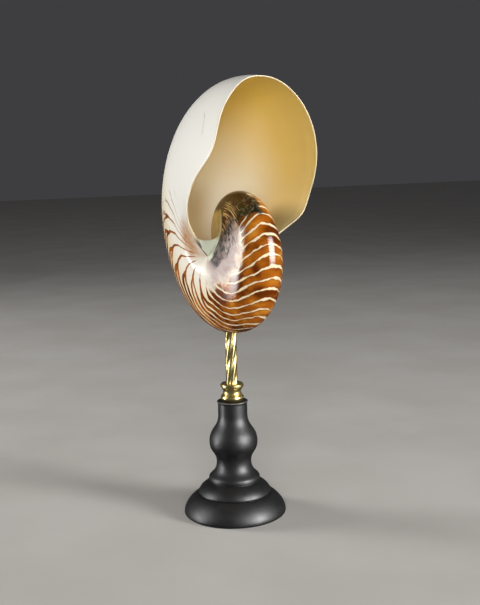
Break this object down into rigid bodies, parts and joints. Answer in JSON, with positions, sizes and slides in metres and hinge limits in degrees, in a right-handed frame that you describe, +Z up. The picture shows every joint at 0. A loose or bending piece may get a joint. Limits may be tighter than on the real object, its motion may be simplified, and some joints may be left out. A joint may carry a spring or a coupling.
{
  "type": "nautilus shell on a turned stand",
  "caption": "Whole coiled nautilus shell with an open body chamber, held mouth forward on a twisted brass rod that rises from a collar on a black turned pedestal.",
  "frame": {"origin": "middle of the pedestal's flat underside", "axes": "+Z up along the pedestal's axis; the shell coils in the plane x = 0 and its mouth faces -Y"},
  "size_m": [0.0888, 0.1275, 0.2962],
  "materials": {
    "black_wood": "satin black paint on turned wood",
    "brass": "polished",
    "shell": "polished natural shell, ivory with orange-brown flame stripes"
  },
  "bodies": {
    "root": {"pedestal": "black_wood", "collar": "brass", "rod": "brass", "shell": "shell"}
  },
  "joints": []
}
